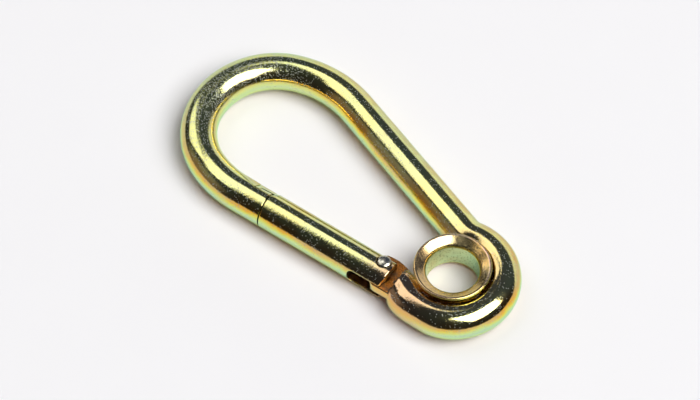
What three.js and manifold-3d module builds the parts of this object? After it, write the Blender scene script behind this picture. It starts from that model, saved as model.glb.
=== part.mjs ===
// Round-bar snap hook with a spring gate and a pressed eyelet, size 11 x 120 mm.
// Units are millimetres, +Z is up, and the hook lies flat on the plane z = 0 with the eyelet towards +X.
// The origin is under the middle of the hook's bounding box.
import * as THREE from 'three';
import { mergeVertices } from 'three/addons/utils/BufferGeometryUtils.js';
import Module from 'manifold-3d';

const wasm = await Module();
wasm.setup();

// ---------- Driving dimensions ----------

// Round bar that the hook body and the gate are made of
const BAR_R = 5.5;
const MID_Z = BAR_R;
const BAR_SIDES = 24;
const BAR_STEPS = 96;
const ROUND_SIDES = 32;
const SMALL_SIDES = 28;

// Plan shape: two arms leaning on an eye loop, joined by a three-arc bow (angles in degrees)
const ARM_LEAN = 10;
const LOOP_R = 14.35;
const GATE_LINE_OFFSET = 11.2;
const SHOULDER_FROM_FOOT = 10;
const GATE_LINE_LENGTH = 57.53;
const BOW_ARCS = [
  { radius: 32.1, turn: 22.8 },
  { radius: 22.4, turn: 138.9 },
  { radius: 33.1, turn: 38.3 },
];
const NECK_R = 8;
const HIP_R = 12;

// Joint between gate and nose: a slanted butt face and a hooked key on the inner side
const JOINT_T = -47.2;
const JOINT_SLANT = 4;
const JOINT_GAP = 0.4;
const KEY_GAP = 0.25;
const LAP_AT_JOINT = 3.4;
const LAP_AT_LIP = 2.75;
const LIP_T = -51.2;
const POCKET_N = 1.5;
const POCKET_T = -53.2;
const RELIEF_START_T = -59;
const RELIEF_DEPTH = 0.55;
const NOSE_BACK_T = -54.2;

// Gate hinge
const GATE_END_T = -4.1;
const GATE_CHAMFER = 0.45;
const RIVET_T = -7.35;
const RIVET_N = 1.9;
const OPEN_ANGLE = 34;
const SHANK_R = 1.25;
const RIVET_HOLE_R = 1.35;
const HEAD_R = 2.05;
const HEAD_SEAT_Z = 9.8;
const HEAD_EDGE_Z = 10.85;
const HEAD_CROWN_R = 1.64;
const HEAD_CROWN_Z = 11.17;
const HEAD_FLAT_R = 0.82;
const HEAD_TOP_Z = 11.35;
const TAIL_EDGE_Z = 0.35;
const TAIL_FACE_R = 1.64;
const TAIL_END_Z = 0.05;
const HEAD_RECESS_R = 2.35;
const SEAT_GAP = 0.1;

// Slot and spring bore in the gate
const SLOT_WIDTH = 5.2;
const SLOT_END_T = -15.5;
const SLOT_STEPS = 6;
const FORK_END_T = -10.9;
const BORE_R = 3.45;
const BORE_END_T = -27;

// Hinge tongue on the body; its end is a cam that pushes the plunger back as the gate opens
const TONGUE_THICKNESS = 4.6;
const TONGUE_FLANK_R = 5.35;
const TONGUE_FACE = 2.45;
const CAM_ARM = 1.2;
const CAM_STEPS = 5;
const CAM_RUNOUT = 0.35;
const STOP_REACH = 4.2;
const STOP_ANGLE = 68;
const STOP_BULGE = 0.9;
const TONGUE_CORNER_R = 4.6;
const TONGUE_ROOT_T = 3;
const TONGUE_ROOT_N = 4.3;
const INNER_ROOT_T = -1.5;
const INNER_ROOT_N = 5.3;
const SHOULDER_T = -0.9;
const SHOULDER_SLOPE = 0.17;

// Spring and plunger
const PLUNGER_R = 3.3;
const PLUNGER_HEAD = 1.6;
const PLUNGER_GAP = 0.15;
const PLUNGER_EDGE = 0.35;
const STEM_R = 1.7;
const STEM_LENGTH = 5.5;
const WIRE_R = 0.4;
const WIRE_SIDES = 6;
const COIL_R = 2.75;
const COIL_TURNS = 12;
const COIL_GAP = 0.1;
const STEPS_PER_TURN = 11;

// Eyelet: a straight tube whose two flared rims hold it in the loop
const EYELET_HEIGHT = 12;
const EYELET_SIDES = 36;
const THROAT_R = 7.7;
const THROAT_HALF = 3.9;
const MOUTH_R = 8.8;
const MOUTH_HALF = 4.98;
const LIP_R = 8.15;
const LIP_HALF = 4.6;
const WAIST_R = 8.7;
const WAIST_HALF = 3.4;
const RIM_R = 11.4;
const RIM_UNDERSIDE = 5.3;
const RIM_FLAT = 0.5;
const RIM_CHAMFER = 0.15;
const FLARE_STEPS = 5;

// Meshing: welding distance, steps of a small arc, and how far a cutting tool reaches past the metal
const WELD = 1e-4;
const PLAN_STEPS = 8;
const REACH = 2 * BAR_R;
const OVER = 1;

const deg = THREE.MathUtils.degToRad;

// ---------- Materials ----------

const plated = (color) => new THREE.MeshStandardMaterial({ color, roughness: 0.22, metalness: 1 });
const MATERIALS = {
  body: plated(0xc2b45c),
  gate: plated(0xc9ad62),
  rivet: new THREE.MeshStandardMaterial({ color: 0xc8c8cc, roughness: 0.25, metalness: 1 }),
  spring: new THREE.MeshStandardMaterial({ color: 0x6a5a40, roughness: 0.4, metalness: 1 }),
  plunger: plated(0xd0a090),
  eyelet: plated(0xd2b070),
};

// ---------- Solid helpers ----------

function toSolid(geometry) {
  const bare = geometry.clone();
  bare.deleteAttribute('normal');
  bare.deleteAttribute('uv');
  const merged = mergeVertices(bare, WELD);
  const vertProperties = new Float32Array(merged.attributes.position.array);
  const triVerts = new Uint32Array(merged.index.array);
  return new wasm.Manifold(new wasm.Mesh({ numProp: 3, vertProperties, triVerts }));
}

function toGeometry(solid) {
  const { numProp, vertProperties, triVerts } = solid.getMesh();
  const positions = [];
  for (let i = 0; i < vertProperties.length; i += numProp) {
    positions.push(vertProperties[i], vertProperties[i + 1], vertProperties[i + 2]);
  }
  const geometry = new THREE.BufferGeometry();
  geometry.setAttribute('position', new THREE.Float32BufferAttribute(positions, 3));
  geometry.setIndex([...triVerts]);
  geometry.computeVertexNormals();
  return geometry;
}

// Upright prism of a plan outline between two heights
function prism(shape, lowZ, highZ) {
  const geometry = new THREE.ExtrudeGeometry(shape, {
    depth: highZ - lowZ,
    bevelEnabled: false,
    curveSegments: PLAN_STEPS,
  });
  return toSolid(geometry.translate(0, 0, lowZ));
}

// Cutting tool of the given plan that goes right through the bar's thickness
function throughBar(shape) {
  return prism(shape, -OVER, 2 * BAR_R + OVER);
}

function polygon(points) {
  return new THREE.Shape(points.map(([x, y]) => new THREE.Vector2(x, y)));
}

// Upright cylinder
function post(x, y, radius, lowZ, highZ) {
  const geometry = new THREE.CylinderGeometry(radius, radius, highZ - lowZ, ROUND_SIDES);
  geometry.rotateX(Math.PI / 2).translate(x, y, (lowZ + highZ) / 2);
  return toSolid(geometry);
}

// Turned piece on a vertical axis; the profile is [radius, z] pairs
function upright(profile, sides) {
  const points = profile.map(([radius, z]) => new THREE.Vector2(radius, z));
  return new THREE.LatheGeometry(points, sides).rotateX(Math.PI / 2);
}

// Turned piece along the gate line; the profile is [radius, t] pairs from one end to the other
function turned(profile, sides) {
  const points = profile.map(([radius, t]) => new THREE.Vector2(radius, t));
  return new THREE.LatheGeometry(points, sides).rotateZ(-Math.PI / 2).translate(0, 0, MID_Z);
}

// ---------- Frames ----------

// The gate frame lies on the gate line: x is t, towards the eye, and y is n, towards the inside
const lean = deg(ARM_LEAN);
const alongGate = new THREE.Vector3(Math.cos(lean), Math.sin(lean), 0);
const acrossGate = new THREE.Vector3(-Math.sin(lean), Math.cos(lean), 0);
const gateOrigin = acrossGate.clone().multiplyScalar(-GATE_LINE_OFFSET);
gateOrigin.addScaledVector(alongGate, -SHOULDER_FROM_FOOT);

const gateFrame = new THREE.Group();
gateFrame.position.copy(gateOrigin);
gateFrame.rotation.z = lean;
gateFrame.updateMatrix();

function inHookFrame(solid) {
  return toSolid(toGeometry(solid).applyMatrix4(gateFrame.matrix));
}

// ---------- Centreline of the bar ----------

class Arc extends THREE.Curve {
  constructor(start, heading, radius, turn) {
    super();
    this.radius = radius;
    this.turn = turn;
    this.fromAngle = heading - Math.sign(turn) * Math.PI / 2;
    this.centre = new THREE.Vector3(
      start.x - radius * Math.cos(this.fromAngle),
      start.y - radius * Math.sin(this.fromAngle),
      start.z,
    );
  }

  getPoint(u, target = new THREE.Vector3()) {
    const angle = this.fromAngle + u * this.turn;
    const x = this.centre.x + this.radius * Math.cos(angle);
    const y = this.centre.y + this.radius * Math.sin(angle);
    return target.set(x, y, this.centre.z);
  }
}

// A pen that draws lines and tangent arcs; positive turns are to the left
class Pen {
  constructor(start, heading) {
    this.path = new THREE.CurvePath();
    this.at = start;
    this.heading = heading;
  }

  add(curve) {
    this.path.add(curve);
    this.at = curve.getPoint(1);
  }

  forward(length) {
    const direction = new THREE.Vector3(Math.cos(this.heading), Math.sin(this.heading), 0);
    this.add(new THREE.LineCurve3(this.at, this.at.clone().addScaledVector(direction, length)));
  }

  arc(radius, turn) {
    this.add(new Arc(this.at, this.heading, radius, turn));
    this.heading += turn;
  }
}

// Turn of a fillet between the loop and a line that passes the eye's centre at the given offset
function filletTurn(offset, radius) {
  return Math.acos((offset + radius) / (LOOP_R + radius));
}

function barPath() {
  const start = gateOrigin.clone().addScaledVector(alongGate, JOINT_T).setZ(MID_Z);
  const pen = new Pen(start, lean + Math.PI);
  pen.forward(GATE_LINE_LENGTH + JOINT_T);
  for (const { radius, turn } of BOW_ARCS) {
    pen.arc(radius, -deg(turn));
  }
  const across = new THREE.Vector3(-Math.sin(pen.heading), Math.cos(pen.heading), 0);
  const along = new THREE.Vector3(Math.cos(pen.heading), Math.sin(pen.heading), 0);
  const neckTurn = filletTurn(pen.at.dot(across), NECK_R);
  const hipTurn = filletTurn(GATE_LINE_OFFSET, HIP_R);
  pen.forward(-pen.at.dot(along) - (LOOP_R + NECK_R) * Math.sin(neckTurn));
  pen.arc(NECK_R, neckTurn);
  const loopTurn = pen.heading - (lean - Math.PI) + hipTurn;
  pen.arc(LOOP_R, -loopTurn);
  pen.arc(HIP_R, hipTurn);
  pen.forward(BAR_R);
  return pen.path;
}

// ---------- Nose joint ----------

// Half of the plan that belongs to the nose; gap shrinks it and moves its edge off the gate
function noseOutline(gap, keyGap) {
  const slant = Math.tan(deg(JOINT_SLANT));
  const joint = (n) => JOINT_T - gap - slant * n;
  const lap = LAP_AT_JOINT - keyGap;
  return polygon([
    [POCKET_T - REACH, -REACH],
    [joint(-REACH), -REACH],
    [joint(lap), lap],
    [LIP_T + keyGap, LAP_AT_LIP - keyGap],
    [LIP_T + keyGap, POCKET_N - keyGap],
    [POCKET_T - keyGap, POCKET_N - keyGap],
    [POCKET_T - keyGap, REACH],
    [POCKET_T - REACH, REACH],
  ]);
}

// Ground relief beside the key: a 45 degree flat that deepens towards the joint, above and below
function noseRelief() {
  const flat = BAR_R - RELIEF_DEPTH;
  const ramp = [
    [RELIEF_START_T, BAR_R],
    [POCKET_T, flat],
    [JOINT_T + BAR_R, flat],
    [JOINT_T + BAR_R, REACH],
    [RELIEF_START_T, REACH],
  ];
  const block = new THREE.ExtrudeGeometry(polygon(ramp), { depth: 2 * BAR_R, bevelEnabled: false });
  block.translate(0, 0, -BAR_R);
  const above = toSolid(block.clone().rotateX(Math.PI / 4).translate(0, 0, MID_Z));
  const below = toSolid(block.rotateX(-Math.PI / 4).translate(0, 0, MID_Z));
  return above.add(below);
}

// ---------- Hinge tongue ----------

// Points of the cam: a flat follower on it moves back CAM_ARM for each radian that the gate opens
function camPoint(angle) {
  const reach = TONGUE_FACE + CAM_ARM * angle;
  const back = -reach * Math.cos(angle) + CAM_ARM * Math.sin(angle);
  const side = reach * Math.sin(angle) + CAM_ARM * Math.cos(angle);
  return [RIVET_T + back, RIVET_N + side];
}

function tongueOutline() {
  const cornerT = RIVET_T - TONGUE_FACE + TONGUE_CORNER_R;
  const open = deg(OPEN_ANGLE);
  const outline = new THREE.Shape();
  outline.moveTo(TONGUE_ROOT_T, -BAR_R);
  outline.lineTo(cornerT, -BAR_R);
  outline.absarc(cornerT, TONGUE_CORNER_R - BAR_R, TONGUE_CORNER_R, -Math.PI / 2, -Math.PI, true);
  for (let i = 0; i <= CAM_STEPS; i += 1) {
    outline.lineTo(...camPoint(open * i / CAM_STEPS));
  }
  const [endT, endN] = camPoint(open);
  outline.lineTo(endT + CAM_RUNOUT * Math.sin(open), endN + CAM_RUNOUT * Math.cos(open));
  const stopT = RIVET_T - STOP_REACH * Math.cos(deg(STOP_ANGLE));
  const stopN = RIVET_N + STOP_REACH * Math.sin(deg(STOP_ANGLE));
  outline.lineTo(stopT, stopN);
  outline.quadraticCurveTo((stopT + INNER_ROOT_T) / 2, stopN + STOP_BULGE, INNER_ROOT_T, INNER_ROOT_N);
  outline.lineTo(TONGUE_ROOT_T, TONGUE_ROOT_N);
  return outline;
}

// Only the half on the outer side is rounded to fit inside the bar
function tongue() {
  const half = TONGUE_THICKNESS / 2;
  const plate = prism(tongueOutline(), MID_Z - half, MID_Z + half);
  const flankRod = toSolid(turned([
    [0, -REACH],
    [TONGUE_FLANK_R, -REACH],
    [TONGUE_FLANK_R, REACH],
    [0, REACH],
  ], ROUND_SIDES));
  const innerHalf = polygon([[-REACH, 0], [REACH, 0], [REACH, REACH], [-REACH, REACH]]);
  const kept = flankRod.add(prism(innerHalf, 0, 2 * MID_Z));
  return plate.intersect(kept).subtract(post(RIVET_T, RIVET_N, RIVET_HOLE_R, 0, 2 * MID_Z));
}

// ---------- Pieces ----------

function hookBodyGeometry() {
  const section = new THREE.Shape().absarc(0, 0, BAR_R, 0, 2 * Math.PI);
  const bar = new THREE.ExtrudeGeometry(section, {
    extrudePath: barPath(),
    steps: BAR_STEPS,
    curveSegments: BAR_SIDES / 2,
    bevelEnabled: false,
  });
  const noseEnd = throughBar(polygon([
    [NOSE_BACK_T, -REACH],
    [JOINT_T + REACH, -REACH],
    [JOINT_T + REACH, REACH],
    [NOSE_BACK_T, REACH],
  ]));
  const gateSide = noseEnd.subtract(throughBar(noseOutline(JOINT_GAP, 0)));
  const shoulder = (n) => SHOULDER_T - SHOULDER_SLOPE * n;
  const beyondShoulder = throughBar(polygon([
    [-REACH, -REACH],
    [shoulder(-REACH), -REACH],
    [shoulder(REACH), REACH],
    [-REACH, REACH],
  ]));
  return toGeometry(
    toSolid(bar)
      .subtract(inHookFrame(gateSide.add(noseRelief()).add(beyondShoulder)))
      .add(inHookFrame(tongue())),
  );
}

function gateGeometry() {
  const keyEnd = POCKET_T + KEY_GAP;
  const rod = toSolid(turned([
    [0, keyEnd],
    [BAR_R, keyEnd],
    [BAR_R, GATE_END_T - GATE_CHAMFER],
    [BAR_R - GATE_CHAMFER, GATE_END_T],
    [0, GATE_END_T],
  ], ROUND_SIDES));
  const low = MID_Z - SLOT_WIDTH / 2;
  const high = MID_Z + SLOT_WIDTH / 2;
  const forkPlan = polygon([[FORK_END_T, -REACH], [REACH, -REACH], [REACH, REACH], [FORK_END_T, REACH]]);
  const fork = prism(forkPlan, low, high);
  const slotCentreT = SLOT_END_T + SLOT_WIDTH / 2;
  const slotSide = new THREE.Shape();
  slotSide.moveTo(0, -SLOT_WIDTH / 2);
  slotSide.lineTo(0, SLOT_WIDTH / 2);
  slotSide.lineTo(slotCentreT, SLOT_WIDTH / 2);
  slotSide.absarc(slotCentreT, 0, SLOT_WIDTH / 2, Math.PI / 2, 3 * Math.PI / 2, false);
  const slotBlock = new THREE.ExtrudeGeometry(slotSide, {
    depth: REACH,
    bevelEnabled: false,
    curveSegments: SLOT_STEPS,
  });
  const slot = toSolid(slotBlock.rotateX(Math.PI / 2).translate(0, 0, MID_Z));
  const bore = toSolid(turned([[0, BORE_END_T], [BORE_R, BORE_END_T], [BORE_R, 0], [0, 0]], ROUND_SIDES));
  const nose = throughBar(noseOutline(0, -KEY_GAP));
  const rivetHole = post(RIVET_T, RIVET_N, RIVET_HOLE_R, -OVER, 2 * BAR_R + OVER);
  const upperRecess = post(RIVET_T, RIVET_N, HEAD_RECESS_R, HEAD_SEAT_Z, 2 * BAR_R + OVER);
  const lowerRecess = post(RIVET_T, RIVET_N, HEAD_RECESS_R, -OVER, 2 * MID_Z - HEAD_SEAT_Z);
  const cuts = [fork, slot, bore, nose, noseRelief(), rivetHole, upperRecess, lowerRecess];
  return toGeometry(cuts.reduce((solid, cut) => solid.subtract(cut), rod));
}

// Domed head above, flatter peened tail below
function rivetGeometry() {
  const tailSeat = 2 * MID_Z - HEAD_SEAT_Z;
  return upright([
    [0, TAIL_END_Z],
    [TAIL_FACE_R, TAIL_END_Z],
    [HEAD_R, TAIL_EDGE_Z],
    [HEAD_R, tailSeat - SEAT_GAP],
    [SHANK_R, tailSeat - SEAT_GAP],
    [SHANK_R, HEAD_SEAT_Z + SEAT_GAP],
    [HEAD_R, HEAD_SEAT_Z + SEAT_GAP],
    [HEAD_R, HEAD_EDGE_Z],
    [HEAD_CROWN_R, HEAD_CROWN_Z],
    [HEAD_FLAT_R, HEAD_TOP_Z],
    [0, HEAD_TOP_Z],
  ], SMALL_SIDES);
}

const plungerFaceT = RIVET_T - TONGUE_FACE - PLUNGER_GAP;
const plungerBackT = plungerFaceT - PLUNGER_HEAD;

function plungerGeometry() {
  return turned([
    [0, plungerBackT - STEM_LENGTH],
    [STEM_R, plungerBackT - STEM_LENGTH],
    [STEM_R, plungerBackT],
    [PLUNGER_R, plungerBackT],
    [PLUNGER_R, plungerFaceT - PLUNGER_EDGE],
    [PLUNGER_R - PLUNGER_EDGE, plungerFaceT],
    [0, plungerFaceT],
  ], SMALL_SIDES);
}

class Coil extends THREE.Curve {
  getPoint(u, target = new THREE.Vector3()) {
    const angle = 2 * Math.PI * COIL_TURNS * u;
    const first = plungerBackT - COIL_GAP - WIRE_R;
    const last = BORE_END_T + COIL_GAP + WIRE_R;
    return target.set(
      THREE.MathUtils.lerp(first, last, u),
      COIL_R * Math.cos(angle),
      MID_Z + COIL_R * Math.sin(angle),
    );
  }
}

function springGeometry() {
  const wire = new THREE.Shape().absarc(0, 0, WIRE_R, 0, 2 * Math.PI);
  return new THREE.ExtrudeGeometry(wire, {
    extrudePath: new Coil(),
    steps: COIL_TURNS * STEPS_PER_TURN,
    curveSegments: WIRE_SIDES / 2,
    bevelEnabled: false,
  });
}

// The upper half of the profile runs up the loop's side, over the flat rim and down the cone to the throat
function eyeletGeometry() {
  const half = EYELET_HEIGHT / 2;
  const flatInnerR = RIM_R - RIM_CHAMFER - RIM_FLAT;
  const upper = [];
  for (let i = 0; i <= FLARE_STEPS; i += 1) {
    const angle = Math.PI / 2 * i / FLARE_STEPS;
    const radius = RIM_R - (RIM_R - WAIST_R) * Math.cos(angle);
    upper.push([radius, WAIST_HALF + (RIM_UNDERSIDE - WAIST_HALF) * Math.sin(angle)]);
  }
  upper.push([RIM_R, half - RIM_CHAMFER]);
  upper.push([RIM_R - RIM_CHAMFER, half]);
  upper.push([flatInnerR, half], [MOUTH_R, MOUTH_HALF], [LIP_R, LIP_HALF], [THROAT_R, THROAT_HALF]);
  const lower = upper.map(([radius, z]) => [radius, -z]).reverse();
  return upright([...upper, ...lower, upper[0]], EYELET_SIDES);
}

// ---------- Assembly ----------

function piece(name, geometry, material) {
  const mesh = new THREE.Mesh(geometry, material);
  mesh.name = name;
  return mesh;
}

const hookBody = piece('hook_body', hookBodyGeometry(), MATERIALS.body);
const gate = piece('gate', gateGeometry(), MATERIALS.gate);
const rivet = piece('hinge_rivet', rivetGeometry(), MATERIALS.rivet);
const plunger = piece('spring_plunger', plungerGeometry(), MATERIALS.plunger);
const spring = piece('gate_spring', springGeometry(), MATERIALS.spring);
const eyelet = piece('eyelet', eyeletGeometry(), MATERIALS.eyelet);

rivet.position.set(RIVET_T, RIVET_N, 0);
eyelet.position.z = EYELET_HEIGHT / 2;
gateFrame.add(gate, rivet, plunger, spring);

const snapHook = new THREE.Group();
snapHook.add(hookBody, gateFrame, eyelet);
snapHook.updateMatrixWorld(true);

const box = new THREE.Box3().setFromObject(snapHook, true);
const middle = box.getCenter(new THREE.Vector3());
snapHook.position.set(-middle.x, -middle.y, -box.min.z);

export default snapHook;
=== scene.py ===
# Snap hook with a spring gate and a flared eyelet, in yellow-chromate plated steel.
# The fine meshes are worked out here in millimetres, from the same driving dimensions as the CAD
# part: each bar piece is a signed distance field, meshed on a grid that follows the bar.
import math

import bpy
import numpy as np
from mathutils import Matrix, Vector


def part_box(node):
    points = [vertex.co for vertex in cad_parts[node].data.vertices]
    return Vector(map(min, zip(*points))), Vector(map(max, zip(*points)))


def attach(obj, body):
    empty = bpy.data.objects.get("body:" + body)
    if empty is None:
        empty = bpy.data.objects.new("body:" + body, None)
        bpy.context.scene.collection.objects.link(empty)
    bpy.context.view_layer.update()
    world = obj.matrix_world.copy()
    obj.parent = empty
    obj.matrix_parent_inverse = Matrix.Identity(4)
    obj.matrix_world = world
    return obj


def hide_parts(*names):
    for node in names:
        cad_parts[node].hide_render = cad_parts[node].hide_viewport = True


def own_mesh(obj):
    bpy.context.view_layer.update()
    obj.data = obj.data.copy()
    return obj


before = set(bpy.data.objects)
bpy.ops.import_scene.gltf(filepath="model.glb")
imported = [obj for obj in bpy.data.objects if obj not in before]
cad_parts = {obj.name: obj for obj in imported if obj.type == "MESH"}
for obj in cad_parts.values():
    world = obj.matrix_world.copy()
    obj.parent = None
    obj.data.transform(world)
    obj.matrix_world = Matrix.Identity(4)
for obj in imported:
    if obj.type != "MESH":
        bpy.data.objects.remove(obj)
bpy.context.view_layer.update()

MM = 0.001
FAR = 1000

# ---------- Driving dimensions, as in the CAD part ----------
# All in mm. The plan's origin is the eye's centre. Beside the gate line, t runs towards the hinge
# from 0 at the shoulder, n towards the inside of the hook, and z up from the middle of the bar.
# Round the bar, s runs from the nose joint, over the bow and the eye loop, to the hinge.

# Bar
BAR_R = 5.5
MID_Z = BAR_R
LEAN = math.radians(10)
LOOP_R = 14.35
GATE_LINE_OFFSET = 11.2
SHOULDER_FROM_FOOT = 10
GATE_LINE_LENGTH = 57.53
BOW_ARCS = [(32.1, 22.8), (22.4, 138.9), (33.1, 38.3)]  # radius, turn in degrees
NECK_R = 8
HIP_R = 12
HINGE_RUN = 10

# Keyed joint between the nose and the gate
JOINT_T = -47.2
JOINT_SLANT = math.tan(math.radians(4))
JOINT_GAP = 0.4
KEY_GAP = 0.25
LAP_AT_JOINT = 3.4
LAP_AT_LIP = 2.75
LIP_T = -51.2
POCKET_N = 1.5
POCKET_T = -53.2
RELIEF_START_T = -59
RELIEF_DEPTH = 0.55
RELIEF_END_T = -45.6

# Gate's hinge end and the rivet
GATE_END_T = -4.1
END_CROWN_T = GATE_END_T + 0.05
END_CROWN_N = 0.15
END_BULGE = 0.03
RIVET_T = -7.35
RIVET_N = 1.9
OPEN_ANGLE = math.radians(34)
SHANK_R = 1.25
RIVET_HOLE_R = 1.35
HEAD_R = 2.05
HEAD_SEAT = 4.3
HEAD_TOP = 5.85
DOME_BASE = 5.15
TAIL_END = -5.45
TAIL_CHAMFER = 0.35
HEAD_RECESS_R = 2.35

# Gate's slot and bore
SLOT_HALF = 2.6
SLOT_END_T = -15.5
SLOT_CORNER_R = 1.7
FORK_END_T = -10.9
BORE_R = 3.45
BORE_END_T = -27

# Hinge tongue
TONGUE_HALF = 2.3
TONGUE_FLANK_R = 5.35
TONGUE_FACE = 2.45
BEVEL = 1.9  # along the tongue's lower outer edge
CAM_ARM = 1.2
CAM_TIP = 0.35
STOP_REACH = 4.2
STOP_ANGLE = math.radians(68)
TONGUE_CORNER_R = 4.6
TONGUE_ROOT = 3
INNER_ROOT = (-1.5, 5.3)
INNER_SWELL = 0.9
SHOULDER_T = -0.9
SHOULDER_SLOPE = 0.17

# Marks of bending on the eye's outer side: metal pushed up at the hip, a shallow dent below the eye
UPSET_HEIGHT = 0.7
UPSET_T = 3.0
UPSET_REACH = 3.4
DENT_DEPTH = 0.5
DENT_T = 10.5
DENT_REACH = 3.0
RIPPLE = 0.02

# Plunger and spring
PLUNGER_R = 3.3
PLUNGER_HEAD = 1.6
PLUNGER_GAP = 0.15
STEM_R = 1.7
STEM_LENGTH = 5.5
WIRE_R = 0.4
COIL_R = 2.75
COIL_TURNS = 12
SPRING_GAP = 0.1

# Eyelet
EYELET_HALF = 6
THROAT_R = 7.7
THROAT_HALF = 3.9
MOUTH_R = 8.8
MOUTH_HALF = 4.98
LIP_R = 8.15
LIP_HALF = 4.6
WAIST_R = 8.7
WAIST_HALF = 3.4
RIM_R = 11.4
RIM_UNDERSIDE = 5.3
RIM_EDGE_R = 0.5
RIM_FLAT = 0.35
RIM_FALL = 0.05  # across that flat
OUT_OF_ROUND = 0.05

# Roundings of edges
EDGE_R = 0.16
GATE_END_R = 0.4
KEY_TIP_R = 0.35
GATE_RELIEF_R = 0.25
NOSE_RELIEF_R = 0.15
OPENING_R = 0.13
SHOULDER_R = 0.45
TONGUE_EDGE_R = 0.22
TONGUE_FLANK_EDGE_R = 0.3
HOLE_EDGE_R = 0.1
TONGUE_FILLET_R = 0.35
RIVET_EDGE_R = 0.12
PLUNGER_EDGE_R = 0.35
MOUTH_EDGE_R = 0.5

# How far off the bar a relief's plane begins, and the length over which the nose's one comes in
NOSE_RELIEF_CLEAR = 0.4
GATE_RELIEF_CLEAR = 0.3
RELIEF_LEAD = 2

# Mesh: grid pitches, and segments of round things
GATE_PITCH = 0.16
BAR_PITCH = 0.165
CROSS_PITCH = 0.17
STRAIGHT_PITCH = 2.0
BEND_PITCH = 1.15
BEND_STEP = 0.052  # radians
NOSE_DETAIL = (-0.9, 14.5)  # s where the bar is meshed finely at the nose
HINGE_DETAIL = (4.4, 8.6)  # and how far it is before and after the hinge shoulder
ARC_STEPS = 12
CAM_STEPS = 10
RIVET_SIDES = 72
PLUNGER_SIDES = 64
EYELET_SIDES = 144
COIL_STEPS = 40
WIRE_SIDES = 12
RIM_STEPS = 8
AXIS_R = 0.02  # of the small end faces of a turned piece

# ---------- Fields: distances in mm, negative inside the metal ----------


def cut(a, b, r=EDGE_R):
    """What is inside both a and b, with the edge between them rounded to radius r."""
    outside = np.hypot(np.maximum(a + r, 0), np.maximum(b + r, 0))
    return np.minimum(np.maximum(a, b), -r) + outside


def join(a, b, r=EDGE_R):
    """What is inside a or b, with a fillet of radius r between them."""
    return -cut(-a, -b, r)


def outline(points, x, y):
    """Signed distance to a closed polygon."""
    nearest = np.full(np.broadcast(x, y).shape, float(FAR**2))
    sign = np.ones(nearest.shape)
    for (ax, ay), (bx, by) in zip(points, points[-1:] + points[:-1]):
        ex, ey = bx - ax, by - ay
        wx, wy = x - ax, y - ay
        k = np.clip((wx * ex + wy * ey) / (ex * ex + ey * ey), 0, 1)
        nearest = np.minimum(nearest, (wx - ex * k) ** 2 + (wy - ey * k) ** 2)
        above, below, left = y >= ay, y < by, ex * wy > ey * wx
        crossed = (above & below & left) | (~above & ~below & ~left)
        sign = np.where(crossed, -sign, sign)
    return sign * np.sqrt(nearest)


def nose_outline(gap, key_gap):
    """The half of the joint's plan that belongs to the nose, as (t, n) points."""
    lap = LAP_AT_JOINT - key_gap
    lip = LIP_T + key_gap
    pocket = POCKET_T - key_gap
    floor = POCKET_N - key_gap
    outside = -10

    def joint(n):
        return JOINT_T - gap - JOINT_SLANT * n

    return [
        (-FAR, -FAR), (joint(outside), -FAR), (joint(outside), outside), (joint(lap), lap),
        (lip, LAP_AT_LIP - key_gap), (lip, floor), (pocket, floor), (pocket, FAR), (-FAR, FAR),
    ]


def cam_point(angle):
    """Point of the tongue's involute end that pushes the plunger when the gate is at this angle."""
    reach = TONGUE_FACE + CAM_ARM * angle
    back = -reach * math.cos(angle) + CAM_ARM * math.sin(angle)
    side = reach * math.sin(angle) + CAM_ARM * math.cos(angle)
    return RIVET_T + back, RIVET_N + side


def tongue_outline():
    """The tongue's plan: outer corner, cam, stop face and inner side, as (t, n) points."""
    corner_t = RIVET_T - TONGUE_FACE + TONGUE_CORNER_R
    corner_n = TONGUE_CORNER_R - BAR_R
    points = [(TONGUE_ROOT, -BAR_R)]
    for i in range(ARC_STEPS + 1):
        a = -math.pi / 2 - math.pi / 2 * i / ARC_STEPS
        across = TONGUE_CORNER_R * math.cos(a), TONGUE_CORNER_R * math.sin(a)
        points.append((corner_t + across[0], corner_n + across[1]))
    points += [cam_point(OPEN_ANGLE * i / CAM_STEPS) for i in range(CAM_STEPS + 1)]
    end_t, end_n = points[-1]
    tip = CAM_TIP * math.sin(OPEN_ANGLE), CAM_TIP * math.cos(OPEN_ANGLE)
    points.append((end_t + tip[0], end_n + tip[1]))
    stop_t = RIVET_T - STOP_REACH * math.cos(STOP_ANGLE)
    stop_n = RIVET_N + STOP_REACH * math.sin(STOP_ANGLE)
    middle = ((stop_t + INNER_ROOT[0]) / 2, stop_n + INNER_SWELL)
    for i in range(ARC_STEPS + 1):
        u = i / ARC_STEPS
        a, b, c = (1 - u) ** 2, 2 * u * (1 - u), u * u
        t = a * stop_t + b * middle[0] + c * INNER_ROOT[0]
        n = a * stop_n + b * middle[1] + c * INNER_ROOT[1]
        points.append((t, n))
    points.append((TONGUE_ROOT, INNER_ROOT[1] - 1))
    return points


NOSE = nose_outline(JOINT_GAP, 0)
NOSE_IN_GATE = nose_outline(0, -KEY_GAP)
TONGUE = tongue_outline()


def ripple(along, n, z):
    """Slow unevenness of a drawn and bent bar."""
    n, z = n / BAR_R, z / BAR_R
    a = np.sin(along / 5.3 + 1.1 * n) * np.sin(along / 8.7 + 2.3 * z + 0.6)
    b = np.sin(along / 3.1 - 1.7 * z + 2.0) * np.sin(along / 13.0 + 0.9 * n)
    return RIPPLE * (a + 0.5 * b)


def hump(t, middle, reach):
    return np.exp(-(((t - middle) / reach) ** 2))


def relief(t, n, z, depths):
    """45 degree flats beside the key, above and below, at a distance that changes along t."""
    return (n + np.abs(z)) / math.sqrt(2) - np.interp(t, *depths)


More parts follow.
